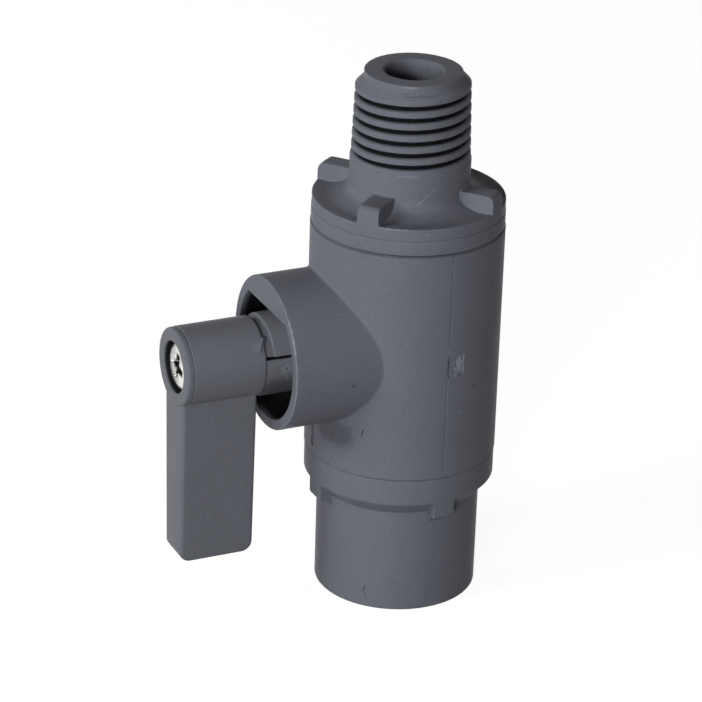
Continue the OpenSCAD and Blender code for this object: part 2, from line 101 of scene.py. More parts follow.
def node(tree, kind, sockets=(), **settings):
    """A shader node with its settings, each input set to a value or wired to a socket."""
    made = tree.nodes.new(kind)
    for name, value in settings.items():
        setattr(made, name, value)
    for name, value in dict(sockets).items():
        if isinstance(value, bpy.types.NodeSocket):
            tree.links.new(value, made.inputs[name])
        else:
            made.inputs[name].default_value = value
    return made


def maths(tree, operation, *values):
    """The result of a sum or a comparison of numbers."""
    return node(tree, "ShaderNodeMath", enumerate(values), operation=operation).outputs[0]


def ramp(tree, value, low=0.0, high=1.0, to_low=0.0, to_high=1.0):
    """A value carried evenly from one range to another, and held at its ends."""
    return node(tree, "ShaderNodeMapRange", {
        "Value": value, "From Min": low, "From Max": high,
        "To Min": to_low, "To Max": to_high}).outputs["Result"]


def blank_material(name):
    """A new material with no nodes in it, and its node tree."""
    material = bpy.data.materials.new(name)
    material.use_nodes = True
    material.node_tree.nodes.clear()
    return material, material.node_tree


def seen_directly(tree):
    """1 for a ray from the camera, off a glossy surface or through glass, otherwise 0."""
    path = node(tree, "ShaderNodeLightPath").outputs
    either = maths(tree, "MAXIMUM", path["Is Camera Ray"], path["Is Glossy Ray"])
    return maths(tree, "MAXIMUM", either, path["Is Transmission Ray"])


def white_surroundings(ambient=0.04):
    """White where it is seen, and a weak even light on everything else."""
    world = bpy.data.worlds.new("white_surroundings")
    bpy.context.scene.world = world
    world.use_nodes = True
    tree = world.node_tree
    tree.nodes.clear()
    glow = node(tree, "ShaderNodeBackground", {
        "Color": (1, 1, 1, 1), "Strength": ramp(tree, seen_directly(tree), to_low=ambient)})
    node(tree, "ShaderNodeOutputWorld", {"Surface": glow.outputs["Background"]})


def white_table(half=1.5, drop=0.02, grey=0.22, glow=0.925):
    """A flat square under the valve. It keeps the shadow, and a little glow that only the
    camera and reflections see takes its lit part to white."""
    z = -drop * MM
    corners = [(-half, -half, z), (half, -half, z), (half, half, z), (-half, half, z)]
    mesh = bpy.data.meshes.new("table")
    mesh.from_pydata(corners, [], [(0, 1, 2, 3)])
    table = bpy.data.objects.new("table", mesh)
    bpy.context.collection.objects.link(table)
    material, tree = blank_material("white_paper")
    matte = node(tree, "ShaderNodeBsdfDiffuse", {"Color": (grey, grey, grey, 1)})
    light = node(tree, "ShaderNodeEmission", {
        "Color": (1, 1, 1, 1), "Strength": maths(tree, "MULTIPLY", seen_directly(tree), glow)})
    both = node(tree, "ShaderNodeAddShader", {0: matte.outputs[0], 1: light.outputs[0]})
    node(tree, "ShaderNodeOutputMaterial", {"Surface": both.outputs[0]})
    mesh.materials.append(material)


bpy.context.scene.view_settings.view_transform = "Standard"
place_camera()
soft_lamp("left_lamp", azimuth=-176, elevation=30, distance=0.62, size=0.2, power=1.75,
          colour=COOL_WHITE)
soft_lamp("front_lamp", azimuth=-127, elevation=12, distance=0.62, size=0.2, power=2.85,
          colour=COOL_WHITE)
soft_lamp("back_lamp", azimuth=122, elevation=5, distance=0.9, size=0.3, power=1.9)
soft_lamp("right_lamp", azimuth=8, elevation=5, distance=0.9, size=0.3, power=0.9)
white_surroundings()
white_table()


# The male end connector: an injection-moulded grey PVC piece that screws into the top of
# the body. It has a flange with four spanner lugs, a smooth neck, a quarter-inch taper
# pipe thread and a short lead at its tip. Inside the body its nose holds the upper seat.
body_low, body_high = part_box("body")
ball_low, ball_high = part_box("ball")
male_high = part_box("male_end_connector")[1]
seat_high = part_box("upper_ball_seat")[1]
BODY_BOTTOM = body_low.z / MM
BODY_TOP = body_high.z / MM
TIP_Z = male_high.z / MM
FLANGE_R = male_high.y / MM
FLANGE_T = 3.3
STEM_Z = (ball_low.z + ball_high.z) / 2 / MM
SEAT_R = seat_high.y / MM
SEAT_BACK = seat_high.z / MM - STEM_Z
SLIP = 0.05
MALE_RIM_Z = BODY_TOP + FLANGE_T
MOULD_LINE_Z = BODY_TOP + 1.86
FLOW_R = 3.4
NECK_R = 7.05
NECK_TOP_Z = 54.57
PITCH = 25.4 / 18
TAPER = 1 / 32
CREST_R_AT_TIP = 6.63
TIP_R = 5.7
FLARE_Z = 64.4
FLARE_CLIMB = 0.31
LEDGE = 0.25
GROOVE_Z = 62.55
THREAD_START_Z = NECK_TOP_Z + 0.35
THREAD_END_Z = 63.35
LUG_W = 2.7
LUG_H = 2.05
MALE_LUG_ANGLE = 40
NOSE_R = SEAT_R + SLIP + 1.7
SCREW_R = 9.35
SCREW_L = 3.8
PVC_GREY = (0.142, 0.144, 0.160)


def rounded(corners, radii, steps=5):
    """A flat profile through the corner points, each corner replaced by an arc of its
    radius that touches both sides. A radius of 0 keeps the corner. A corner in line with
    its neighbours has to have a radius of 0, since its arc has no finite points."""
    corners = np.array(corners, float)
    radii = np.broadcast_to(np.array(radii, float), len(corners))
    out = []
    for k, (corner, radius) in enumerate(zip(corners, radii)):
        if radius <= 0 or k in (0, len(corners) - 1):
            out.append(corner[None])
            continue
        back = corners[k - 1] - corner
        ahead = corners[k + 1] - corner
        back_l, ahead_l = np.hypot(*back), np.hypot(*ahead)
        back, ahead = back / back_l, ahead / ahead_l
        half = math.acos(np.clip(back @ ahead, -1, 1)) / 2
        reach = min(radius / math.tan(half), 0.49 * back_l, 0.49 * ahead_l)
        t = np.linspace(0, 1, steps + 1)[:, None]
        start, end = corner + back * reach, corner + ahead * reach
        centre = corner + (back + ahead) / np.hypot(*(back + ahead)) * reach / math.cos(half)
        a, b = start - centre, end - centre
        angle = math.pi - 2 * half
        arc = (np.sin((1 - t) * angle) * a + np.sin(t * angle) * b) / math.sin(angle)
        out.append(centre + arc)
    return np.vstack(out)


def closed_mesh(name, points, poles=False):
    """A closed mesh from a grid of points in millimetres. Its columns run round and join
    up. Its rows join up as well, or with poles each end row closes in one middle point.
    Its faces turn round where the volume that they enclose comes out below 0, which no
    mesh with a point that is not finite can show."""
    rows, columns = points.shape[:2]
    number = np.arange(rows * columns).reshape(rows, columns)
    upper = number[:-1] if poles else number
    lower = number[1:] if poles else np.roll(number, -1, axis=0)
    faces = np.stack([upper, np.roll(upper, -1, axis=1), np.roll(lower, -1, axis=1), lower],
                     axis=-1).reshape(-1, 4)
    flat = points.reshape(-1, 3)
    a, b, c, d = np.moveaxis((flat - flat.mean(0))[faces], 1, 0)
    outwards = -1 if np.sum(a * (np.cross(b, c) + np.cross(c, d))) < 0 else 1
    faces = faces[:, ::outwards].tolist()
    if poles:
        flat = np.vstack([flat, points[0].mean(0), points[-1].mean(0)])
        first, last = np.full((columns, 2), len(flat) - np.array([2, 1])).T
        fans = np.vstack([np.column_stack([number[0], first, np.roll(number[0], -1)]),
                          np.column_stack([number[-1], np.roll(number[-1], -1), last])])
        faces += fans[:, ::outwards].tolist()
    mesh = bpy.data.meshes.new(name)
    mesh.from_pydata(flat * MM, [], faces)
    mesh.validate()
    piece = bpy.data.objects.new(name, mesh)
    bpy.context.collection.objects.link(piece)
    return piece


def shade(piece, crease=32):
    """Smooth shading, but creased where two faces meet at more than an angle in degrees."""
    piece.data.shade_smooth()
    piece.data.set_sharp_from_angle(angle=math.radians(crease))


def soft_positive(x, soft):
    """x where it is positive and 0 where it is negative, with a round of the given size."""
    return np.where(np.abs(x) < soft, (x + soft) ** 2 / (4 * soft), np.maximum(x, 0))


def thread_groove(z, turn, first_z, opening, root, depth):
    """How far a right-handed pipe thread's groove cuts in at a height and an angle. The
    groove's middle rises by one pitch a turn. Across it the cut is flat for the root's
    width, and its flanks end in a small round at the crest."""
    off = (z - first_z - PITCH * turn / (2 * math.pi)) / PITCH
    off = np.abs(off - np.round(off)) * PITCH
    flank = (opening / 2 - off) / (opening - root) * 2
    return depth * np.clip(soft_positive(flank, 0.06), 0, 1)


# Half of a lug's outline: the distance across it, and how far up it that place lies.
LUG_SIDE = rounded(
    [[-LUG_W / 2 - 0.55, 0], [-LUG_W / 2 - 0.02, 0], [-LUG_W / 2 + 0.04, 1], [0, 1]],
    [0, 0.10, 0.14, 0], steps=6)


def lug_columns(first_angle, between=58):
    """Columns round a flange with four lugs. Those near a lug run at equal distances from
    its middle line, so that its sides are flat and parallel, and the others follow equal
    angles. For each: the angle of its lug, its distance across that lug, how far up the
    lug it lies (0 on the floor, 1 on top), and its share of the way to the next lug."""
    side = LUG_SIDE[:-1]
    across = np.concatenate([side[:, 0], [0], -side[::-1, 0], np.full(between, side[0, 0])])
    lift = np.concatenate([side[:, 1], [1], side[::-1, 1], np.zeros(between)])
    share = np.concatenate([np.zeros(2 * len(side) + 1), np.linspace(0, 1, between + 2)[1:-1]])
    start = math.radians(first_angle) + np.arange(4)[:, None] * math.pi / 2 + np.zeros(len(across))
    return start.ravel(), np.tile(across, 4), np.tile(lift, 4), np.tile(share, 4)


def round_flange(floor, lug, rest, first_angle):
    """Rows of points round the flow axis. floor and lug are two profiles of radius and
    height with as many points each, one between the lugs and one along a lug's middle, and
    each column mixes them. rest is the profile of the remaining rows, where r and z are
    the same all round."""
    start, across, lift, share = lug_columns(first_angle)
    profile = floor[:, None] + (lug - floor)[:, None] * lift[None, :, None]
    profile = np.concatenate([profile, np.repeat(rest[:, None], len(start), axis=1)])
    r, z = profile[..., 0], profile[..., 1]
    edge = np.arcsin(np.clip(np.abs(across) / r, 0, 1))
    gap = math.pi / 2 - 2 * np.arcsin(np.clip(np.abs(LUG_SIDE[0, 0]) / r, 0, 1))
    turn = np.where(share > 0, start + edge + share * gap, start + edge * np.sign(across))
    return r, z, turn


def on_flow_axis(r, z, turn):
    """Points round the flow axis, by radius, height and angle."""
    return np.stack([r * np.cos(turn), r * np.sin(turn), z], axis=-1)


def nose_profile():
    """The connector's hidden half, from the flange's inner face round the screwed part,
    the seal's groove, the nose, the seat's pocket and the cushion's groove to the bore.
    Heights are distances from the ball's middle."""
    half = (BODY_TOP - BODY_BOTTOM) / 2
    step = half - SCREW_L + SLIP
    groove_r, groove_low, groove_high = 7.39, 9.46 - 1.125 / 2, 9.46 + 1.125 / 2
    pocket_r, pocket_end = SEAT_R + SLIP, SEAT_BACK + SLIP
    cushion_out, cushion_in, cushion_end = 4.98 + 1.12 / 2, 4.98 - 1.12 / 2, 8.5
    nose_end = 4.72
    return rounded([
        [SCREW_R, half], [SCREW_R, step], [NOSE_R, step],
        [NOSE_R, groove_high], [groove_r, groove_high], [groove_r, groove_low], [NOSE_R, groove_low],
        [NOSE_R, nose_end], [pocket_r, nose_end], [pocket_r, pocket_end],
        [cushion_out, pocket_end], [cushion_out, cushion_end],
        [cushion_in, cushion_end], [cushion_in, pocket_end], [FLOW_R, pocket_end]],
        [0.1] * 15, steps=2)


def male_connector():
    """Closed surface round the flow axis. Rows: rim and floor or lug, neck, thread, lead,
    tip, bore and nose. The thread's rows sink by the groove's depth. The lead is a cone of
    45 degrees from the tip's plain ring out to the crests, and its start climbs round the
    tip with the thread. A small ledge follows it where the thread begins."""
    rim, rim_r, lug_top = MALE_RIM_Z, FLANGE_R - 0.05, MALE_RIM_Z + LUG_H
    wall = [rim_r, rim - 0.55]
    floor = np.vstack([
        rounded([wall, [rim_r, rim], [11.0, rim]], [0, 0.17, 0], steps=9)[:-1],
        rounded([[11.0, rim], [9.2, rim - 0.06], [NECK_R, rim + 0.75], [NECK_R, rim + 2.9]],
                [0, 4.0, 1.6, 0], steps=8)])
    lug = np.vstack([
        rounded([wall, [rim_r, lug_top], [9.6, lug_top]], [0, 0.85, 0], steps=9)[:-1],
        rounded([[9.6, lug_top], [8.4, lug_top], [NECK_R, lug_top - 0.02], [NECK_R, rim + 2.9]],
                [0, 0.3, 0.3, 0], steps=8)])
    lead_z = 62.8
    thread_z = np.concatenate([np.arange(THREAD_START_Z, lead_z, PITCH / 20),
                               np.arange(lead_z, TIP_Z - 0.2, 0.06)])
    crest = CREST_R_AT_TIP + TAPER * (TIP_Z - thread_z)
    neck = rounded([
        [NECK_R, rim + 3.0], [NECK_R, NECK_TOP_Z], [NECK_R - 0.09, NECK_TOP_Z + 0.05],
        [NECK_R - 0.1, thread_z[0] - 0.05]], [0, 0.05, 0.05, 0], steps=3)
    tip = rounded([
        [TIP_R, thread_z[-1]], [TIP_R, TIP_Z], [FLOW_R + 0.2, TIP_Z], [FLOW_R, TIP_Z - 0.2]],
        [0, 0.14, 0.12, 0.1], steps=5)[1:]
    nose = nose_profile()[::-1] + [0, STEM_Z]
    seam = rounded([
        [SCREW_R, BODY_TOP], [FLANGE_R - 0.3, BODY_TOP], [FLANGE_R, BODY_TOP + 0.16],
        [FLANGE_R, MOULD_LINE_Z - 0.04], [FLANGE_R - 0.1, MOULD_LINE_Z],
        [rim_r, MOULD_LINE_Z + 0.05], [rim_r, rim - 0.65]],
        [0, 0.08, 0.08, 0.03, 0, 0.03, 0], steps=3)
    rest = np.vstack([neck, np.column_stack([crest, thread_z]), tip, nose, seam[1:]])
    r, z, turn = round_flange(floor, lug, rest, MALE_LUG_ANGLE)
    first = len(floor) + len(neck)
    rows = slice(first, first + len(thread_z))
    angle, height = turn[rows], z[rows]
    groove = thread_groove(height, angle + math.radians(116), GROOVE_Z,
                           opening=0.8, root=0.14, depth=0.7)
    run_in = np.clip((height - THREAD_START_Z) / 0.35, 0, 1)
    run_out = np.clip((THREAD_END_Z - height) / 0.35, 0, 1)
    flare_start = FLARE_Z + FLARE_CLIMB * np.sin(angle + math.radians(115))
    started = np.clip((np.cos(angle + math.radians(78)) - 0.66) / 0.06, 0, 1)
    flare = TIP_R + soft_positive(flare_start - 0.2 * started - height, 0.03)
    flare += LEDGE * started * np.clip((flare_start - 0.5 - height) / 0.05, 0, 1)
    r[rows] -= soft_positive(r[rows] - flare, 0.05) + groove * run_in * run_out
    return closed_mesh("threaded_male_end", on_flow_axis(r, z, turn))


def vector(tree, operation, first, second=None):
    """The result of a vector sum: a number for a length, distance or dot product."""
    sockets = {0: first}
    if second is not None:
        sockets["Scale" if operation == "SCALE" else 1] = second
    made = node(tree, "ShaderNodeVectorMath", sockets, operation=operation).outputs
    return made["Value" if operation in ("LENGTH", "DISTANCE", "DOT_PRODUCT") else "Vector"]


def noise(tree, place, size, detail=2.0, roughness=0.5, output="Fac"):
    """Noise whose blotches have about the given size in millimetres."""
    return node(tree, "ShaderNodeTexNoise", {
        "Vector": place, "Scale": 1 / (size * MM), "Detail": detail,
        "Roughness": roughness}).outputs[output]


def object_place(tree):
    """Where on the object a point lies, in metres."""
    return node(tree, "ShaderNodeTexCoord").outputs["Object"]


def shader_group(name, inputs, outputs):
    """A new shader group with named numbers, vectors or colours in and out, and the
    sockets of its inputs."""
    group = bpy.data.node_groups.new(name, "ShaderNodeTree")
    for in_out, sockets in (("INPUT", inputs), ("OUTPUT", outputs)):
        for socket, kind in sockets.items():
            group.interface.new_socket(socket, in_out=in_out, socket_type="NodeSocket" + kind)
    return group, node(group, "NodeGroupInput").outputs


def moulded_skin():
    """Shader group for moulded plastic: a fine speckle, a soft mottle, sparse light and
    dark nicks, short light scuffs, and the height of the skin's fine texture."""
    group, given = shader_group("moulded_skin", {
        "Colour": "Color", "Speckle": "Float", "Mottle": "Float", "Scuff": "Float",
        "Marks": "Float", "Roughness": "Float"}, {
        "Colour": "Color", "Roughness": "Float", "Height": "Float"})
    place = object_place(group)
    speckle = maths(group, "SUBTRACT", noise(group, place, 0.24, 2, 0.6), 0.5)
    mottle = maths(group, "SUBTRACT", noise(group, place, 4.5, 3, 0.6), 0.5)
    grain = noise(group, place, 0.09, 3, 0.6)
    warped = vector(group, "ADD", place, vector(
        group, "SCALE", noise(group, place, 0.5, output="Color"), 0.25 * MM))
    cells = node(group, "ShaderNodeTexVoronoi", {"Vector": warped, "Scale": 1 / (5.2 * MM)}).outputs
    pick = node(group, "ShaderNodeSeparateColor", {"Color": cells["Color"]}).outputs
    size = maths(group, "MULTIPLY", maths(group, "POWER", pick["Red"], 4.0), 0.034)
    nick = ramp(group, cells["Distance"], maths(group, "MULTIPLY", size, 0.5), size, 1.0, 0.0)
    tone = maths(group, "MULTIPLY", nick, maths(group, "SUBTRACT", pick["Green"], 0.6))
    slanted = node(group, "ShaderNodeMapping", {
        "Vector": warped, "Rotation": (0.3, 0.6, 0.5), "Scale": (1.0, 9.0, 9.0)}).outputs["Vector"]
    streak = ramp(group, noise(group, slanted, 1.6, 1.0), 0.68, 0.76)
    worn = ramp(group, noise(group, place, 3.4, 2, 0.6), 0.54, 0.64)
    scuff = maths(group, "MULTIPLY", maths(group, "MULTIPLY", streak, worn), given["Scuff"])
    change = maths(group, "ADD", maths(group, "MULTIPLY", speckle, given["Speckle"]),
                   maths(group, "MULTIPLY", mottle, given["Mottle"]))
    change = maths(group, "ADD", maths(group, "MULTIPLY", change, 2.0),
                   maths(group, "MULTIPLY", tone, 0.9))
    change = maths(group, "ADD", maths(group, "ADD", change, scuff), given["Marks"])
    node(group, "NodeGroupOutput", {
        "Colour": vector(group, "SCALE", given["Colour"], maths(group, "ADD", change, 1.0)),
        "Roughness": maths(group, "ADD", given["Roughness"], maths(group, "MULTIPLY", mottle, 0.16)),
        "Height": maths(group, "ADD", grain, maths(group, "MULTIPLY", nick, 0.8))})
    return group


def surface_mark():
    """Shader group for one small mark on a skin, round or drawn along a short line: its
    tone within its size of the line, faded to 0 at a ragged outline."""
    group, given = shader_group("surface_mark", {
        "Start": "Vector", "End": "Vector", "Size": "Float", "Tone": "Float"}, {"Tone": "Float"})
    place = object_place(group)
    line = vector(group, "SUBTRACT", given["End"], given["Start"])
    off = vector(group, "SUBTRACT", place, given["Start"])
    share = node(group, "ShaderNodeMath", {
        0: vector(group, "DOT_PRODUCT", off, line), 1: vector(group, "DOT_PRODUCT", line, line)},
        operation="DIVIDE", use_clamp=True).outputs[0]
    away = vector(group, "DISTANCE", off, vector(group, "SCALE", line, share))
    ragged = maths(group, "MULTIPLY_ADD", noise(group, place, 0.3), 1.2, 0.4)
    tone = ramp(group, maths(group, "MULTIPLY", away, ragged),
                maths(group, "MULTIPLY", given["Size"], 0.5), given["Size"], given["Tone"], 0.0)
    node(group, "NodeGroupOutput", {"Tone": tone})
    return group


MOULDED_SKIN = moulded_skin()
SURFACE_MARK = surface_mark()


def from_flow_axis(tree):
    """A place's distance from the flow axis, and its height."""
    place = node(tree, "ShaderNodeSeparateXYZ", {"Vector": object_place(tree)}).outputs
    flat = node(tree, "ShaderNodeCombineXYZ", {"X": place["X"], "Y": place["Y"]}).outputs[0]
    return vector(tree, "LENGTH", flat), place["Z"]


def groove_depth(tree):
    """How deep in the male thread's groove a place lies, from 0 at the crest to 1 at the root,
    by its distance from the flow axis. The male connector's finish uses it as painted shade
    deep in the groove."""
    radius, height = from_flow_axis(tree)
    crest = maths(tree, "MULTIPLY_ADD", height, -TAPER, (CREST_R_AT_TIP + TAPER * TIP_Z) * MM)
    depth = ramp(tree, maths(tree, "SUBTRACT", crest, radius), 0.12 * MM, 0.42 * MM)
    for side, operation, limit in (
            (height, "GREATER_THAN", NECK_TOP_Z + 0.4), (height, "LESS_THAN", THREAD_END_Z - 0.05),
            (radius, "GREATER_THAN", TIP_R - 0.2)):
        depth = maths(tree, "MULTIPLY", depth, maths(tree, operation, side, limit * MM))
    return depth


def show(tree, colour, roughness, height, depth, strength, **constants):
    """The Principled shader with a bump of a depth in millimetres, wired to the output.
    Constants are set on its own sockets, named with _ for a space."""
    bump = node(tree, "ShaderNodeBump", {
        "Height": height, "Distance": depth * MM, "Strength": strength})
    shader = node(tree, "ShaderNodeBsdfPrincipled", {
        "Base Color": colour, "Roughness": roughness, "Normal": bump.outputs["Normal"],
        **{name.replace("_", " "): value for name, value in constants.items()}})
    node(tree, "ShaderNodeOutputMaterial", {"Surface": shader.outputs["BSDF"]})


def moulded_pvc(name, colour, scuff=0.2, roughness=0.4, specular=0.016, marks=(), painted_shade=None):
    """Satin moulded PVC: the skin group drives colour and roughness, and its height a bump.
    marks are small tone changes: nicks and scratches, and also painted highlights and painted
    shade; each is its two ends, its size in millimetres and its tone. Where painted_shade is
    given, it is a mask of painted shade in hollows, and the colour goes nearly black as it nears 1."""
    material, tree = blank_material(name)
    tone = 0.0
    for start, end, size, strength in marks:
        mark = node(tree, "ShaderNodeGroup", {
            "Start": Vector(start) * MM, "End": Vector(end) * MM, "Size": size * MM,
            "Tone": strength}, node_tree=SURFACE_MARK)
        tone = maths(tree, "ADD", tone, mark.outputs["Tone"])
    skin = node(tree, "ShaderNodeGroup", {
        "Colour": (*colour, 1), "Speckle": 0.2, "Mottle": 0.07, "Scuff": scuff, "Marks": tone,
        "Roughness": roughness}, node_tree=MOULDED_SKIN).outputs
    shown = skin["Colour"]
    # Painted shade: the colour goes nearly black where the mask nears 1.
    if painted_shade:
        shown = vector(tree, "SCALE", shown, maths(tree, "MULTIPLY_ADD", painted_shade(tree), -0.93, 1.0))
    show(tree, shown, skin["Roughness"], skin["Height"], 0.02, 0.6, Specular_IOR_Level=specular)
    return material


def dress(piece, material, body, stands_for):
    """Gives a new piece its finish, the CAD body it moves with and the node it stands for."""
    piece.data.materials.clear()
    piece.data.materials.append(material)
    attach(piece, body)
    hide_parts(stands_for)


def on_cylinder(r, angle, z):
    """A place on a cylinder about the flow axis, by its angle in degrees and its height."""
    return (r * math.cos(math.radians(angle)), r * math.sin(math.radians(angle)), z)


def round_lines(*lines, parts=3):
    """Marks that follow a cylinder about the flow axis as short straight lines. Each line
    is a radius, two angles in degrees, the heights at both, a size and a tone."""
    marks = []
    for r, start, end, z_start, z_end, size, tone in lines:
        angle, z = np.linspace(start, end, parts + 1), np.linspace(z_start, z_end, parts + 1)
        places = [on_cylinder(r, *pair) for pair in zip(angle, z)]
        marks += [(*ends, size, tone) for ends in zip(places, places[1:])]
    return marks


threaded_male_end = male_connector()
shade(threaded_male_end)
# Marks on the male connector: a light scratch down the neck, then painted highlights along the neck's
# top edge, the flange rim's top edge, the tip ring and the ledge where the thread starts.
male_scratch_and_highlights = round_lines(
    (NECK_R, -91.5, -112.5, 52.9, 50.6, 0.1, 0.35),
    (NECK_R, -109, -129, NECK_TOP_Z, NECK_TOP_Z, 0.12, 0.3),
    (FLANGE_R - 0.15, -116, -133, MALE_RIM_Z, MALE_RIM_Z, 0.2, 0.45),
    (TIP_R, -112, -127, TIP_Z - 0.2, TIP_Z - 0.2, 0.16, 0.3),
    (6.3, -98, -124, 64.12, 63.85, 0.12, 0.35))
# Its finish darkens the thread's grooves with painted shade.
male_pvc = moulded_pvc("male_connector_pvc", PVC_GREY, scuff=0.4, painted_shade=groove_depth,
                       marks=male_scratch_and_highlights)
dress(threaded_male_end, male_pvc, "valve_body", "male_end_connector")


# The female end connector: the same kind of moulding, screwed in from below. Its barrel
# holds the female pipe thread, and its four spanner lugs point down along the barrel.
FEMALE_RIM_Z = BODY_BOTTOM - FLANGE_T
FEMALE_R = 9.7
MOUTH_R = 5.68
FEMALE_LUG_ANGLE = 4
SOCKET_START_Z = 0.45


def female_connector():
    """Closed surface round the flow axis, drawn upside down like the male one: rim and
    floor or lug, barrel, mouth, threaded socket, cone, bore and nose. Known fault: the
    corners 10.2 out on the floor and 10.1 out on the lug lie in line with their
    neighbours but have a radius of 0.1, so their rows fall to the origin and the faces
    point inwards. A radius of 0 for both is the repair."""
    rim, lug_end = FEMALE_RIM_Z, FEMALE_RIM_Z - LUG_H
    wall = [FLANGE_R, rim + 0.6]
    floor = np.vstack([
        rounded([wall, [FLANGE_R, rim], [10.9, rim]], [0, 0.2, 0], steps=9)[:-1],
        rounded([[10.9, rim], [10.2, rim], [FEMALE_R, rim], [FEMALE_R, rim - 2.8]],
                [0, 0.1, 0.25, 0], steps=8)])
    lug = np.vstack([
        rounded([wall, [FLANGE_R, lug_end], [10.5, lug_end]], [0, 0.8, 0], steps=9)[:-1],
        rounded([[10.5, lug_end], [10.1, lug_end], [FEMALE_R, lug_end], [FEMALE_R, rim - 2.8]],
                [0, 0.1, 0.2, 0], steps=8)])
    thread_z = np.arange(SOCKET_START_Z, 10.2, PITCH / 16)
    barrel = rounded([[FEMALE_R, rim - 2.9], [FEMALE_R - 0.03, 0], [MOUTH_R + 0.4, 0],
                      [MOUTH_R, 0.4]], [0, 0.3, 0.12, 0.1], steps=6)
    end_r = MOUTH_R - 0.33
    end = rounded([[end_r, 10.3], [end_r, 10.6], [FLOW_R, 11.9]], [0, 0.1, 0.2], steps=3)
    nose = [0, STEM_Z] + nose_profile()[::-1] * [1, -1]
    seam = rounded([[SCREW_R, BODY_BOTTOM], [FLANGE_R - 0.14, BODY_BOTTOM],
                    [FLANGE_R, BODY_BOTTOM - 0.14], [FLANGE_R, rim + 0.7]],
                   [0, 0.06, 0.06, 0], steps=3)
    crest = MOUTH_R - TAPER * thread_z
    rest = np.vstack([barrel, np.column_stack([crest, thread_z]), end, nose, seam[1:]])
    r, z, turn = round_flange(floor, lug, rest, FEMALE_LUG_ANGLE)
    first = len(floor) + len(barrel)
    rows = slice(first, first + len(thread_z))
    groove = thread_groove(z[rows], turn[rows], 1.0, opening=0.72, root=0.2, depth=0.8)
    run_in = np.clip((z[rows] - SOCKET_START_Z) / 0.3, 0, 1)
    run_out = np.clip((10.1 - z[rows]) / 0.5, 0, 1)
    r[rows] += groove * (run_in * run_out)
    return closed_mesh("threaded_female_end", on_flow_axis(r, z, turn))


def flange_corner_shade(tree):
    """Painted shade in the corner where the barrel meets the flange, fading out down the barrel."""
    radius, height = from_flow_axis(tree)
    near = ramp(tree, radius, (FEMALE_R + 0.5) * MM, (FEMALE_R + 0.1) * MM)
    close = ramp(tree, height, (FEMALE_RIM_Z - 1.35) * MM, (FEMALE_RIM_Z - 0.8) * MM, 0.0, 0.75)
    return maths(tree, "MULTIPLY", near, close)


threaded_female_end = female_connector()
shade(threaded_female_end)
# Painted shade in the corner under the flange, and a short dark line on the barrel.
female_pvc = moulded_pvc("female_connector_pvc", PVC_GREY, painted_shade=flange_corner_shade, marks=round_lines(
    (FEMALE_R, -136.2, -137.6, 2.8, 2.2, 0.13, -0.45),
    (FEMALE_R, -137.6, -135.3, 2.2, 1.2, 0.1, -0.35), parts=1))
dress(threaded_female_end, female_pvc, "valve_body", "female_end_connector")


# The body: one moulding of a plain barrel, open at both ends, and a round collar for the
# stem and the turn stop. The mould left a parting line, a small U-shaped notch and a rough
# gate scar on its front, and a narrow slot under the collar.
BARREL_R = body_high.y / MM
BARREL_EDGE = 0.2
COLLAR_R = 9.15
COLLAR_FACE = -body_low.x / MM
COLLAR_IN_R = 7.9
COLLAR_FLOOR = 12.18
COLLAR_FILLET = 0.45
STOP_HEIGHT = 5.7
STEM_HOLE_R = 3.36
STEM_FLANGE_ROOM_R = 4.65
PARTING_ANGLE = -87.4
SIDE_LINE_ANGLE = -160.3
NOTCH_ANGLE = -87.0
GATE_ANGLE = -80.7
GATE_Z = 32.4
SLOT_Z = BODY_BOTTOM + 2.6


def soft_box(x, y, half_x, half_y, corner, soft):
    """1 inside a rounded rectangle and 0 outside it, with an edge of the given softness."""
    dx = np.maximum(np.abs(x) - half_x + corner, 0)
    dy = np.maximum(np.abs(y) - half_y + corner, 0)
    return np.clip(0.5 - (np.hypot(dx, dy) - corner) / soft, 0, 1)


def ridge(x, height, width):
    """A rounded ridge by the distance from its middle, or a groove if its height is below 0."""
    return height * np.exp(-(x / width) ** 2)


def spread(low, high, coarse, dense):
    """Sorted positions from low to high at the coarse step, and at finer steps inside each
    dense stretch, which is its low end, its high end and its step."""
    places = [np.arange(low, high, coarse)]
    for start, end, step in dense:
        places[0] = places[0][(places[0] < start - step) | (places[0] > end + step)]
        places.append(np.arange(start, end + step / 2, step))
    return np.sort(np.concatenate(places))


def gate_scar(x, z):
    """The torn gate: a shallow dish with rough plastic in it and below it, between two
    ridges that sway with the height. x and z are measured from its middle."""
    sway = 0.07 * np.sin(5.3 * z + 0.6) + 0.05 * np.sin(12.1 * z)
    rough = (0.5 * np.sin(x * 17 + 2.1 * z) * np.sin(z * 9.5 - x * 5)
             + 0.5 * np.sin(x * 31 + 1.3) * np.sin(z * 23 + x * 11))
    left = ridge(x + 0.55 + 0.12 * z + sway, 0.06, 0.07) * soft_box(0 * x, z + 0.45, 1, 1.0, 0.1, 0.3)
    right = ridge(x - 0.66 + sway, 0.06, 0.08) * soft_box(0 * x, z, 1, 1.25, 0.1, 0.3)
    dish = -0.05 * soft_box(x + sway / 2, z, 0.55, 1.25, 0.4, 0.15)
    torn = (0.07 + 0.08 * rough) * soft_box(x - sway, z - 0.1, 0.42, 0.86, 0.25, 0.12)
    foot = (0.05 + 0.04 * rough) * soft_box(x - 0.1 + sway, z + 1.2, 0.4, 0.16, 0.1, 0.12)
    return left + right + dish + torn + foot


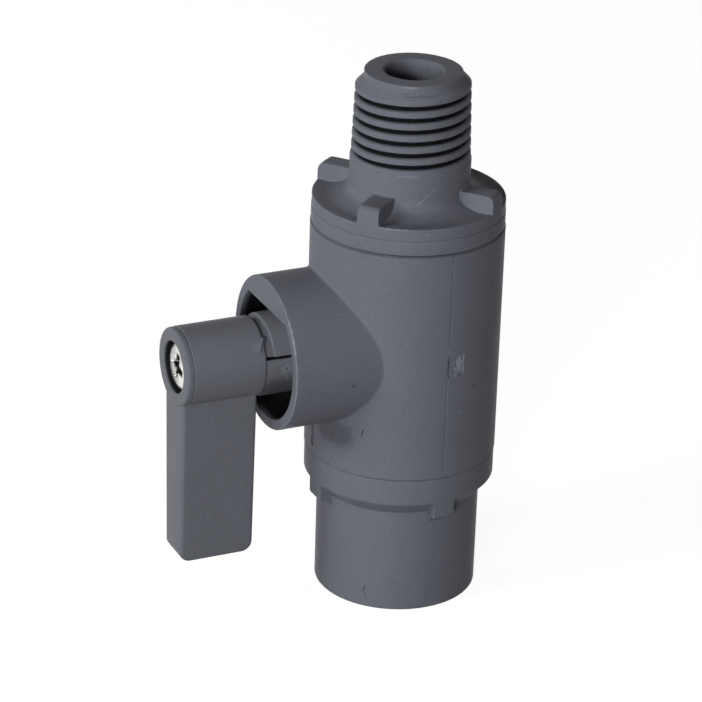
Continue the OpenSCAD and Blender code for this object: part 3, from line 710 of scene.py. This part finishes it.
def barrel_relief(across, z):
    """Height of the barrel's skin over its plain cylinder, by the distance round it from
    the front and by the height: parting line with a small step beside it, a line on the
    side, the notch with its raised lip, the gate scar and the slot."""
    def from_angle(angle):
        return across - math.radians(angle) * BARREL_R
    line_x = from_angle(PARTING_ANGLE) + np.where(z < 31, 0.16, 0.0) + (z - 32) * 0.004
    line = ridge(line_x, -0.11, 0.05)
    step = -0.018 * np.clip(0.5 + line_x / 0.1, 0, 1) * np.clip((1.4 - line_x) / 1.2, 0, 1)
    side_line = ridge(from_angle(SIDE_LINE_ANGLE), -0.05, 0.05) * np.clip((z - 41.2) / 0.4, 0, 1)
    notch_x = from_angle(NOTCH_ANGLE)
    notch = -0.3 * soft_box(notch_x, z - 32.3, 0.2, 1.25, 0.2, 0.06)
    lip = ridge(np.hypot(notch_x, np.maximum(z - 33.4, 0)) - 0.3, 0.012, 0.07) * (z > 33.3)
    slot_x = np.abs(across) - math.pi * BARREL_R
    slot = -0.8 * soft_box(slot_x, z - SLOT_Z, 0.27, 1.3, 0.12, 0.05)
    gate = gate_scar(from_angle(GATE_ANGLE), z - GATE_Z)
    return line + step + side_line + notch + lip + gate + slot


def barrel():
    """Closed ring about the flow axis: the outer skin with its relief, both end faces, the
    screwed ends and the main bore. Its points lie closer where the relief is."""
    fine = math.degrees(0.045 / BARREL_R)
    angle = spread(-180, 180, 1.5, [
        (PARTING_ANGLE - 1.6, GATE_ANGLE + 6.5, fine),
        (SIDE_LINE_ANGLE - 0.6, SIDE_LINE_ANGLE + 0.6, fine),
        (-180, -177.9, fine), (177.9, 179.95, fine)])
    z = spread(BODY_BOTTOM + 0.22, BODY_TOP - 0.2, 0.75, [
        (30.2, 34.6, 0.06), (BODY_BOTTOM + 1.1, BODY_BOTTOM + 4.1, 0.1), (40.9, 41.7, 0.1)])
    screw_r, bore_r = SCREW_R + SLIP, NOSE_R + SLIP
    low = rounded([[screw_r, BODY_BOTTOM + 1], [screw_r, BODY_BOTTOM],
                   [BARREL_R - BARREL_EDGE, BODY_BOTTOM], [BARREL_R, BODY_BOTTOM + BARREL_EDGE]],
                  [0, 0.1, 0.1, 0], steps=4)
    high = rounded([[BARREL_R, BODY_TOP - BARREL_EDGE], [BARREL_R - 0.4, BODY_TOP - 0.06],
                    [screw_r, BODY_TOP], [screw_r, BODY_TOP - 1]],
                   [0, 0.1, 0.1, 0], steps=4)
    inside = np.array([
        [screw_r, BODY_TOP - SCREW_L], [bore_r, BODY_TOP - SCREW_L], [bore_r, STEM_Z],
        [bore_r, BODY_BOTTOM + SCREW_L], [screw_r, BODY_BOTTOM + SCREW_L]])
    skin = np.column_stack([np.full(len(z), BARREL_R), z])
    profile = np.vstack([low, skin, high, inside])
    turn = np.broadcast_to(np.radians(angle), (len(profile), len(angle)))
    r = np.repeat(profile[:, :1], len(angle), axis=1)
    z_all = np.repeat(profile[:, 1:], len(angle), axis=1)
    rows = slice(len(low), len(low) + len(z))
    r[rows] += barrel_relief(turn[rows] * BARREL_R, z_all[rows])
    r[rows] = np.minimum(r[rows], BARREL_R / np.maximum(np.abs(np.sin(turn[rows])), 0.5))
    return closed_mesh("valve_barrel", on_flow_axis(r, z_all, turn))


def on_stem_axis(s, r, turn):
    """Points round the stem axis: s outwards along it, turn from straight up towards +Y."""
    s, r, turn = np.broadcast_arrays(s, r, turn)
    return np.stack([-s, r * np.sin(turn), STEM_Z + r * np.cos(turn)], axis=-1)


def stem_arcs(*arcs):
    """Marks that follow a circle about the stem axis as short straight lines. Each arc is
    its place along the axis, radius, two angles in degrees, size, tone and parts."""
    marks = []
    for s, r, start, end, size, tone, parts in arcs:
        places = on_stem_axis(s, r, np.radians(np.linspace(start, end, parts + 1))).tolist()
        marks += [(*ends, size, tone) for ends in zip(places, places[1:])]
    return marks


def collar():
    """Closed surface round the stem axis: the outer wall, a rolling-ball fillet onto the
    barrel, an end buried in the barrel's wall, the hole, the floor, the inner wall with
    the flat stop across its top, and the face."""
    corner = math.acos(STOP_HEIGHT / COLLAR_IN_R)
    turn = np.unique(np.concatenate([
        np.linspace(-corner, corner, 61), np.linspace(corner, 2 * math.pi - corner, 181)]))[:-1]
    inner = np.minimum(COLLAR_IN_R, STOP_HEIGHT / np.maximum(np.cos(turn), 0.1))
    face, wall, floor, ball_r = COLLAR_FACE, COLLAR_R, COLLAR_FLOOR, COLLAR_FILLET
    sink = math.cos(math.radians(14))
    ball_y = (wall + ball_r) * np.sin(turn)
    ball_s = np.sqrt((BARREL_R + ball_r * sink) ** 2 - ball_y ** 2)
    centre = on_stem_axis(ball_s, wall + ball_r, turn)
    to_barrel = -np.stack([-ball_s, ball_y, 0 * turn], axis=-1) / np.hypot(ball_s, ball_y)[:, None]
    to_wall = -np.stack([0 * turn, np.sin(turn), np.cos(turn)], axis=-1)
    angle = np.arccos(np.clip((to_barrel * to_wall).sum(-1), -1, 1))[:, None]
    rows = [on_stem_axis(s, r, turn) for s, r in rounded(
        [[face, wall - 0.6], [face, wall], [face - 1, wall]], [0, 0.16, 0], steps=5)]
    start, foot = rows[-1], centre + ball_r * to_wall
    rows += [start + (foot - start) * t for t in np.linspace(0, 1, 14)[1:-1]]
    for t in np.linspace(0, 1, 10):
        along = (np.sin((1 - t) * angle) * to_wall + np.sin(t * angle) * to_barrel) / np.sin(angle)
        rows.append(centre + ball_r * along)
    buried = 9.9
    for r in (wall + ball_r - 0.15, 8.0, 6.0, 4.2, 1.2):
        rows.append(on_stem_axis(np.sqrt(buried ** 2 - (r * np.sin(turn)) ** 2), r, turn))
    rows += [on_stem_axis(floor, r, turn) for r in (1.2, 3.0, 4.6)]
    for corners, radii in (
            ([[floor, 0.6], [floor, 0], [floor + 1, 0]], [0, 0.15, 0]),
            ([[face - 1.5, 0], [face, 0], [face, -0.4]], [0, 0.1, 0])):
        rows += [on_stem_axis(s, inner - inset, turn) for s, inset in rounded(corners, radii, steps=3)]
    return closed_mesh("collar", np.stack(rows))


def carve(piece, tool, operation):
    """Joins a solid to a piece, or cuts it away, and removes the solid."""
    modifier = piece.modifiers.new("carve", "BOOLEAN")
    modifier.operation = operation
    modifier.solver = "EXACT"
    modifier.object = tool
    shown = bpy.context.evaluated_depsgraph_get()
    result = bpy.data.meshes.new_from_object(piece.evaluated_get(shown))
    piece.modifiers.clear()
    old = piece.data
    piece.data = result
    bpy.data.meshes.remove(old)
    bpy.data.objects.remove(tool)


def rod_on_stem_axis(name, r, start, end):
    """A plain rod about the stem axis, as a cutting tool."""
    turn = np.linspace(0, 2 * math.pi, 96, endpoint=False)
    return closed_mesh(name, np.stack([on_stem_axis(s, r, turn) for s in (start, end)]), poles=True)


def stem_bore_depth(radius, face, full, floor):
    """Makes a mask for a hole about the stem axis: 0 near the face it opens in and 1 from a
    full depth to its floor, and only within its radius. Its uses paint shade into the hole."""
    def mask(tree):
        place = object_place(tree)
        away = vector(tree, "DISTANCE", vector(tree, "MULTIPLY", place, (0, 1, 1)),
                      (0, 0, STEM_Z * MM))
        along = node(tree, "ShaderNodeSeparateXYZ", {"Vector": place}).outputs["X"]
        inside = maths(tree, "MULTIPLY", maths(tree, "LESS_THAN", away, (radius + 0.05) * MM),
                       maths(tree, "LESS_THAN", along, -(floor - 0.05) * MM))
        depth = ramp(tree, along, -(face - 0.05) * MM, -(face - full) * MM)
        return maths(tree, "MULTIPLY", depth, inside)
    return mask


valve_body = barrel()
carve(valve_body, collar(), "UNION")
carve(valve_body, rod_on_stem_axis("stem_hole", STEM_HOLE_R, 6.0, 14.0), "DIFFERENCE")
carve(valve_body, rod_on_stem_axis("flange_room", STEM_FLANGE_ROOM_R, 6.0, 8.62), "DIFFERENCE")
valve_body.name = "moulded_valve_body"
shade(valve_body)
COLLAR_SPOT = (-10.44, -9.03, 30.77)
collar_rim = (COLLAR_FACE - 0.05, COLLAR_R - 0.05)
# Marks on the body, in order: on the gate scar a light patch, painted highlights along its two ridges
# and a dark spot below it; painted shade in the notch and a painted highlight on its raised lip; three
# small light and dark marks; a broad painted shadow on the barrel under the collar; painted shade in
# the slot under the collar; a small dark spot by the collar's foot; and painted highlights along the
# collar's rim.
body_marks = round_lines(
    (BARREL_R, GATE_ANGLE, GATE_ANGLE + 0.3, GATE_Z + 0.6, GATE_Z - 0.5, 0.5, 0.6),
    (BARREL_R, GATE_ANGLE - 2.8, GATE_ANGLE - 2, GATE_Z - 0.3, GATE_Z - 1.4, 0.14, 0.35),
    (BARREL_R, GATE_ANGLE + 3.3, GATE_ANGLE + 3, GATE_Z + 1.2, GATE_Z - 1.2, 0.14, 0.35),
    (BARREL_R, GATE_ANGLE + 0.5, GATE_ANGLE + 0.5, GATE_Z - 1.3, GATE_Z - 1.3, 0.3, -0.3),
    (BARREL_R, NOTCH_ANGLE, NOTCH_ANGLE, 33.2, 31.4, 0.26, -0.4),
    (BARREL_R, NOTCH_ANGLE - 1.2, NOTCH_ANGLE - 0.6, 34.6, 33.6, 0.12, 0.3),
    (BARREL_R, -69.6, -67, 28.9, 29.1, 0.24, -0.2),
    (BARREL_R, -77.6, -77.6, 26.2, 26.2, 0.3, 0.16),
    (BARREL_R, -137.7, -138.9, 24.05, 23.3, 0.1, -0.6),
    (BARREL_R, -166, -152, 22.8, 22.7, 2.0, -0.28),
    (BARREL_R, 180, 180, SLOT_Z - 1.1, SLOT_Z + 1.1, 0.4, -0.8), parts=1)
body_marks += [(COLLAR_SPOT, COLLAR_SPOT, 0.28, -0.4)] + stem_arcs(
    (*collar_rim, -20, -44, 0.12, 0.2, 3), (*collar_rim, -44, -68, 0.15, 0.55, 3),
    (*collar_rim, -68, -148, 0.12, 0.28, 8))
# Painted shade inside the collar: the colour goes nearly black deep in its hole.
body_pvc = moulded_pvc("body_pvc", PVC_GREY, marks=body_marks, painted_shade=stem_bore_depth(
    COLLAR_IN_R, COLLAR_FACE, 0.9, COLLAR_FLOOR))
dress(valve_body, body_pvc, "valve_body", "body")


# The ball, its two seats, the elastic rings and the thrust washer are hidden inside. The
# ball is turned from grey PVC, the seats and washer are white PTFE, the rings black rubber.
def mixed(tree, share, first, second):
    """A colour between two others."""
    return node(tree, "ShaderNodeMixRGB", {
        "Fac": share, "Color1": first, "Color2": second}).outputs["Color"]


def turned_pvc(name):
    """Grey PVC with the faint rings of a lathe tool about the vertical axis."""
    material, tree = blank_material(name)
    place = object_place(tree)
    rings = node(tree, "ShaderNodeTexWave", {
        "Vector": place, "Scale": 1 / (7 * MM), "Distortion": 0.4, "Detail": 2.0},
        wave_type="BANDS", bands_direction="Z").outputs["Fac"]
    blotch = noise(tree, place, 2, 4.0)
    colour = mixed(tree, blotch, (0.140, 0.144, 0.162, 1), (0.165, 0.169, 0.190, 1))
    show(tree, colour, ramp(tree, blotch, to_low=0.28, to_high=0.42), rings, 0.01, 0.5)
    return material


def cloudy(name, dark, light, size, rough_low, rough_high, bump):
    """A material that drifts between two colours and two roughnesses over a soft noise."""
    material, tree = blank_material(name)
    place = object_place(tree)
    cloud = noise(tree, place, size, 5.0, 0.6)
    roughness = ramp(tree, cloud, to_low=rough_low, to_high=rough_high)
    show(tree, mixed(tree, cloud, (*dark, 1), (*light, 1)), roughness, noise(tree, place, 0.12),
         bump, 0.7)
    return material


def redress(names, material):
    """Gives CAD nodes whose shape stays as it is their finish."""
    for name in names:
        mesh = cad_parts[name].data
        mesh.materials.clear()
        mesh.materials.append(material)


redress(["ball", "stem"], turned_pvc("turned_pvc"))
redress(["upper_ball_seat", "lower_ball_seat", "stem_thrust_washer"],
        cloudy("waxy_ptfe", (0.78, 0.78, 0.75), (0.87, 0.87, 0.84), 1.2, 0.35, 0.5, 0.01))
redress(["upper_seat_cushion_ring", "lower_seat_cushion_ring", "upper_body_seal_ring",
         "lower_body_seal_ring", "inner_stem_seal_ring", "outer_stem_seal_ring"],
        cloudy("seal_rubber", (0.012, 0.012, 0.013), (0.03, 0.03, 0.032), 0.6, 0.45, 0.75, 0.008))


# The stop collar: a small moulded sleeve, slit along one side, on the stem between the body
# and the hub. Its two tabs meet the flat in the body's collar at both ends of the turn, and
# its small round injection mark shows beside the slit.
INJECTION_MARK = (-17.1, -4.85, STEM_Z - 0.05)
SHADE_START = (-18.5, -4.2, STEM_Z - 3.2)
SHADE_END = (-12.5, -4.2, STEM_Z - 3.2)
shoulder_edge = (18.52, 4.83)
# Marks on the stop collar: the injection mark, drawn only in colour as a painted highlight ring round
# a dark centre; a broad patch of painted shade on its lower side; and painted highlights along its
# shoulder's edge.
redress(["stop_collar"], moulded_pvc("stop_collar_pvc", (0.136, 0.138, 0.150), marks=[
    (INJECTION_MARK, INJECTION_MARK, 0.62, 0.5), (INJECTION_MARK, INJECTION_MARK, 0.34, -0.75),
    (SHADE_START, SHADE_END, 2.6, -0.45), *stem_arcs(
        (*shoulder_edge, -15, -34, 0.12, 0.3, 3), (*shoulder_edge, -34, -54, 0.14, 0.6, 3),
        (*shoulder_edge, -54, -70, 0.12, 0.35, 3))]))


# The handle: a hub with a flat lever, moulded in one. The hub slides over the stem's two
# flats, and its end is bored for the head of the screw that holds it.
handle_low, handle_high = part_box("handle")
HUB_R = 4.7
TOOTH_L = 0.65
TOOTH_HALF_W = 0.84
TOOTH_ANGLE = math.radians(38)
TOOTH_FOOT_R = 4.3
HUB_START = -handle_high.x / MM + TOOTH_L
HUB_END = -handle_low.x / MM
LEVER_REACH = STEM_Z - handle_low.z / MM
LEVER_W = 9.3
LEVER_INSET = 0.3
LEVER_ROOT_T = 5.65
LEVER_TIP_T = 4.75
LEVER_CORNER_R = 1.3
LEVER_EDGE_R = 0.4
SCREW_SEAT = HUB_END - 2.8
SCREW_HOLE_R = 1.7
COUNTERBORE_R = 3.1
SOCKET_END = SCREW_SEAT - 1.25
SOCKET_R = 3.36
SOCKET_FLAT = 2.55


def hub():
    """Closed surface round the stem axis: the outer wall with its round end and the fine
    line behind the round, the counterbore, the screw's hole and the socket, whose wall is
    the lesser of a circle and two flats."""
    turn = np.linspace(0, 2 * math.pi, 240, endpoint=False)
    socket = np.minimum(SOCKET_R, SOCKET_FLAT / np.maximum(np.abs(np.sin(turn)), 0.1))
    line_s = HUB_END - 0.88
    outside = rounded([
        [HUB_START, SOCKET_R + 0.4], [HUB_START, HUB_R], [HUB_START + 0.9, HUB_R],
        [HUB_START + 1.8, HUB_R], [HUB_START + 2.0, HUB_R], [line_s - 0.05, HUB_R],
        [line_s, HUB_R - 0.12], [line_s + 0.16, HUB_R - 0.05], [HUB_END, HUB_R - 0.03],
        [HUB_END, COUNTERBORE_R], [SCREW_SEAT, COUNTERBORE_R], [SCREW_SEAT, SCREW_HOLE_R],
        [SOCKET_END, SCREW_HOLE_R], [SOCKET_END, 2.2]],
        [0, 0.22, 0, 0, 0, 0.05, 0, 0.03, 0.8, 0.12, 0.1, 0.05, 0.05, 0], steps=7)
    rows = [on_stem_axis(s, r, turn) for s, r in outside]
    rows += [on_stem_axis(s, socket, turn)
             for s in (SOCKET_END, (SOCKET_END + HUB_START) / 2, HUB_START)]
    return closed_mesh("hub", np.stack(rows))


def lever_outline(inset, steps=10):
    """The lever's outline in the plane of the stem and the flow axis, drawn in by an inset:
    across the stem at the hub, where it ends inside the hub's wall, and round its two tip
    corners. First the distance along the stem, then the distance below the stem axis."""
    inner, outer = HUB_START + LEVER_INSET, HUB_START + LEVER_INSET + LEVER_W
    r = LEVER_CORNER_R - inset
    top, tip = 3.52, LEVER_REACH - LEVER_CORNER_R
    a = np.linspace(0, math.pi / 2, steps)
    left = np.column_stack([outer - LEVER_CORNER_R - 0.08 + r * np.cos(a), tip + r * np.sin(a)])
    right = np.column_stack([inner + LEVER_CORNER_R + 0.08 - r * np.sin(a), tip + r * np.cos(a)])
    return np.vstack([left, right, [[inner + inset, top], [outer - inset, top]]])


def lever():
    """Closed surface in rows from the middle of one broad side over its rounded rim to the
    middle of the other. The thickness tapers evenly from the stem axis to the tip."""
    outline = lever_outline(LEVER_EDGE_R)
    middle = outline.mean(0)
    half_rows = [(middle + (outline - middle) * k, 0.0) for k in (0.05, 0.45, 0.8)]
    half_rows += [(lever_outline(LEVER_EDGE_R * (1 - math.sin(a))), LEVER_EDGE_R * (1 - math.cos(a)))
                  for a in np.linspace(0, math.pi / 2, 7)]
    rows = []
    for side in (-1, 1):
        for flat, drop in half_rows[::-side]:
            share = flat[:, 1] / LEVER_REACH
            half = (LEVER_ROOT_T + (LEVER_TIP_T - LEVER_ROOT_T) * share) / 2 - drop
            rows.append(np.column_stack([-flat[:, 0], side * half, STEM_Z - flat[:, 1]]))
    return closed_mesh("lever", np.stack(rows), poles=True)


def tooth():
    """The tooth on the hub's inner edge, which stands in the stop collar's set-back: a
    profile of distance along the stem and radius, with a ramp, a ridge and a steep flank,
    carried across its width and drawn askew."""
    outwards = np.array([0, -math.cos(TOOTH_ANGLE), math.sin(TOOTH_ANGLE)])
    upwards = np.array([0, math.sin(TOOTH_ANGLE), math.cos(TOOTH_ANGLE)])
    front, back = HUB_START - 0.24, HUB_START + 1.6
    profile = rounded([
        [HUB_START + 0.6, TOOTH_FOOT_R], [front, TOOTH_FOOT_R], [front, TOOTH_FOOT_R + 0.08],
        [HUB_START + 0.38, HUB_R + 0.2], [back, HUB_R - 0.06], [back, TOOTH_FOOT_R]],
        [0, 0.03, 0.05, 0.05, 0.1, 0], steps=4)
    across = np.linspace(-TOOTH_HALF_W, TOOTH_HALF_W, 7)[:, None]
    s = profile[:, 0] - 0.46 * across
    r = profile[:, 1] - 0.05 * (np.abs(across) > 0.8) * (profile[:, 1] > TOOTH_FOOT_R + 0.1)
    points = np.sqrt(r ** 2 - across ** 2)[..., None] * outwards + across[..., None] * upwards
    points[..., 0] = -s
    points[..., 2] += STEM_Z
    return closed_mesh("tooth", points, poles=True)


handle = hub()
carve(handle, lever(), "UNION")
carve(handle, tooth(), "UNION")
handle.name = "lever_handle"
shade(handle, crease=18)
# Painted shade in the counterbore round the screw's head.
handle_pvc = moulded_pvc("handle_pvc", (0.138, 0.140, 0.153), roughness=0.34, specular=0.03,
                         painted_shade=stem_bore_depth(COUNTERBORE_R, HUB_END, 0.35, SCREW_SEAT))
dress(handle, handle_pvc, "handle_and_stem", "handle")


# The handle screw: a stainless pan-head screw with a cross recess, driven along the stem.
screw_low, screw_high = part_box("handle_screw")
SCREW_TOP = -screw_low.x / MM
SCREW_POINT = -screw_high.x / MM
SCREW_HEAD_R = 2.8
SHANK_R = 1.5
SHANK_ROOT_R = 1.12
SCREW_PITCH = 0.9
RECESS_ANGLE = math.radians(14)
RECESS_ARM = 1.72
RECESS_HALF_W = 0.44


def screw_blank():
    """Closed surface round the stem axis: the shank with a shallow thread, and the head
    with its rounded crown."""
    turn = np.linspace(0, 2 * math.pi, 96, endpoint=False)
    shank_s = np.arange(SCREW_POINT + 0.8, SCREW_SEAT - 0.6, 0.05)
    head = rounded([[SCREW_SEAT - 0.5, 1.1], [SCREW_SEAT, 1.2], [SCREW_SEAT, SCREW_HEAD_R],
                    [SCREW_TOP - 0.2, SCREW_HEAD_R - 0.02], [SCREW_TOP - 0.06, 2.3], [SCREW_TOP, 0.4]],
                   [0, 0.1, 0.12, 0.2, 0.6, 0], steps=7)
    phase = shank_s[:, None] / SCREW_PITCH - turn[None] / (2 * math.pi)
    off = np.abs(phase - np.round(phase)) * 2
    radius = SHANK_ROOT_R + (SHANK_R - SHANK_ROOT_R) * np.clip((1 - off) * 2.2 - 1.0, 0, 1)
    rows = [(SCREW_POINT, 0.25), (SCREW_POINT + 0.7, 1.1), *zip(shank_s, radius), *head]
    return closed_mesh("handle_screw_steel", np.stack([
        on_stem_axis(s, r, turn) for s, r in rows]), poles=True)


def cross_recess():
    """A tapered cross, as the tool that cuts the recess: a plus-shaped outline that
    shrinks with its depth and ends in a blunt point."""
    arm, half = RECESS_ARM, RECESS_HALF_W
    quarter = rounded([[arm, 0], [arm, half], [half * 1.25, half * 1.25], [half, arm], [0, arm]],
                      [0, 0.18, 0.1, 0.18, 0], steps=4)[:-1]
    a = (np.arange(4) * math.pi / 2 + RECESS_ANGLE)[:, None]
    x, y = quarter.T
    across, up = (x * np.cos(a) - y * np.sin(a)).ravel(), (x * np.sin(a) + y * np.cos(a)).ravel()
    rows = [np.column_stack([np.full(len(up), depth - SCREW_TOP), across * scale, STEM_Z + up * scale])
            for depth, scale in ((-0.4, 1.12), (0.0, 1.0), (1.35, 0.62), (1.75, 0.28))]
    return closed_mesh("cross_recess", np.stack(rows), poles=True)


def stainless(name):
    """Bright stainless steel with dull patches, and painted shade deep in its cross recess."""
    material, tree = blank_material(name)
    place = object_place(tree)
    cloud = noise(tree, place, 2.2)
    polished = mixed(tree, ramp(tree, cloud, 0.42, 0.56), (0.48, 0.49, 0.46, 1), (0.78, 0.77, 0.74, 1))
    # Painted shade: the recess goes nearly black below its top.
    painted_shade = stem_bore_depth(1.85, SCREW_TOP - 0.03, 0.27, SCREW_POINT - 1)(tree)
    show(tree, mixed(tree, painted_shade, polished, (0.06, 0.06, 0.055, 1)),
         ramp(tree, cloud, to_low=0.16, to_high=0.3), noise(tree, place, 0.05), 0.004, 0.6,
         Metallic=1.0)
    return material


handle_screw = screw_blank()
carve(handle_screw, cross_recess(), "DIFFERENCE")
shade(handle_screw)
dress(handle_screw, stainless("stainless_steel"), "handle_and_stem", "handle_screw")
